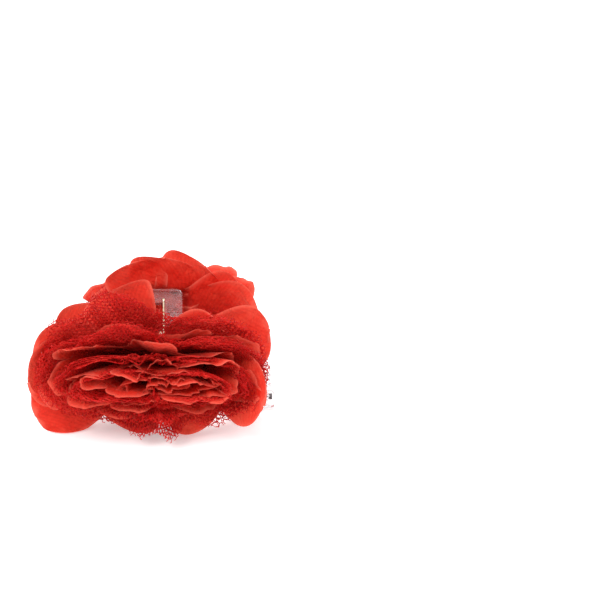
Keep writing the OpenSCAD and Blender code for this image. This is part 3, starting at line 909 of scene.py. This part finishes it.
SEEDS = {FRONT: 11, BACK: 47}
for flower, seed in SEEDS.items():
    rng = np.random.default_rng(seed)
    softened(f"{flower}_glue_pad", f"{flower}_glue", flower, glue, rng, voxel=0.7, uneven=0.12)
    below = softened(
        f"{flower}_felt_backing", f"{flower}_felt", flower, felt, rng, voxel=0.35, uneven=0.05
    )
    below, bed = outer_disc(flower, rng, satin)
    for index in range(len(NET_DISCS)):
        below = net_disc(flower, index, rng, net, bed)
        below = gathered_disc(flower, index + 1, rng, satin, bed)
    heart(flower, rng, satin)
spring(spring_steel)

# ---------------------------------------------------------------------------- floor, lights, camera

# Half the floor's side, and what the lights point at, in metres.
FLOOR_REACH = 6.0
TARGET = (0, 0, 0.02)
# Each light's place and size in metres, and its power in watts.
LIGHTS = {
    "key": ((-0.45, -0.55, 0.75), 0.5, 7.5),
    "fill": ((0.7, -0.4, 0.5), 0.6, 3.0),
    "top": ((0.1, 0.35, 0.9), 0.6, 5.6),
}
# The backdrop's strength as it is seen, and as it lights.
SEEN_STRENGTH, LIT_STRENGTH = 1.05, 0.45
# How high the camera stands, in degrees, how far off, in metres, and its lens and film width, in
# millimetres. It is turned to the right and tipped up from the clip, in degrees.
CAMERA_HIGH, CAMERA_FAR = 25, 0.55
LENS, FILM = 85, 36
TURN_RIGHT, TIP_UP = 5.88, 1.5


def add_floor():
    """A wide square at the height of the table."""
    mesh = bpy.data.meshes.new("floor")
    corners = [(x * FLOOR_REACH, y * FLOOR_REACH, 0) for x, y in ((-1, -1), (1, -1), (1, 1), (-1, 1))]
    mesh.from_pydata(corners, [], [(0, 1, 2, 3)])
    mesh.materials.append(floor_material())
    floor = bpy.data.objects.new("floor", mesh)
    bpy.context.scene.collection.objects.link(floor)


def add_light(name, place, size, power):
    """A round soft light that points at the target."""
    data = bpy.data.lights.new(name, "AREA")
    data.shape, data.size, data.energy = "DISK", size, power
    light = bpy.data.objects.new(name, data)
    light.location = place
    light.rotation_mode = "QUATERNION"
    light.rotation_quaternion = (Vector(TARGET) - Vector(place)).to_track_quat("-Z", "Y")
    bpy.context.scene.collection.objects.link(light)


def add_camera():
    """Looks down from the front, with the clip left of and below the middle."""
    elevation = math.radians(CAMERA_HIGH)
    data = bpy.data.cameras.new("camera")
    data.lens, data.sensor_width = LENS, FILM
    camera = bpy.data.objects.new("camera", data)
    back = Vector((0, -math.cos(elevation), math.sin(elevation)))
    camera.location = Vector((0, 0, HINGE_Z * MM)) + back * CAMERA_FAR
    level = (-back).to_track_quat("-Z", "Y")
    turn = Quaternion((0, 1, 0), math.radians(-TURN_RIGHT))
    tip = Quaternion((1, 0, 0), math.radians(TIP_UP))
    camera.rotation_mode = "QUATERNION"
    camera.rotation_quaternion = level @ turn @ tip
    bpy.context.scene.collection.objects.link(camera)
    bpy.context.scene.camera = camera


def add_world():
    """A white backdrop that lights the clip less than it shows, directly or through clear parts."""
    world = bpy.data.worlds.new("studio")
    world.use_nodes = True
    tree = world.node_tree
    seen, lit = tree.nodes["Background"], tree.nodes.new("ShaderNodeBackground")
    for background, strength in ((seen, SEEN_STRENGTH), (lit, LIT_STRENGTH)):
        background.inputs["Color"].default_value = (1, 1, 1, 1)
        background.inputs["Strength"].default_value = strength
    path, both = tree.nodes.new("ShaderNodeLightPath"), tree.nodes.new("ShaderNodeMixShader")
    clear, shiny, shown = (tree.nodes.new("ShaderNodeMath") for _ in range(3))
    clear.operation, shiny.operation, shown.operation = "SUBTRACT", "MAXIMUM", "MAXIMUM"
    # The seen strength counts for rays from the camera, off a shine, and through a clear part but
    # not through cloth.
    for source, target in (
        (path.outputs["Is Transmission Ray"], clear.inputs[0]),
        (path.outputs["Is Diffuse Ray"], clear.inputs[1]),
        (path.outputs["Is Glossy Ray"], shiny.inputs[0]),
        (clear.outputs[0], shiny.inputs[1]),
        (path.outputs["Is Camera Ray"], shown.inputs[0]),
        (shiny.outputs[0], shown.inputs[1]),
        (shown.outputs[0], both.inputs["Fac"]),
        (lit.outputs[0], both.inputs[1]),
        (seen.outputs[0], both.inputs[2]),
        (both.outputs[0], tree.nodes["World Output"].inputs["Surface"]),
    ):
        tree.links.new(source, target)
    bpy.context.scene.world = world


add_floor()
add_world()
for name, (place, size, power) in LIGHTS.items():
    add_light(name, place, size, power)
add_camera()
bpy.context.scene.view_settings.view_transform = "Standard"
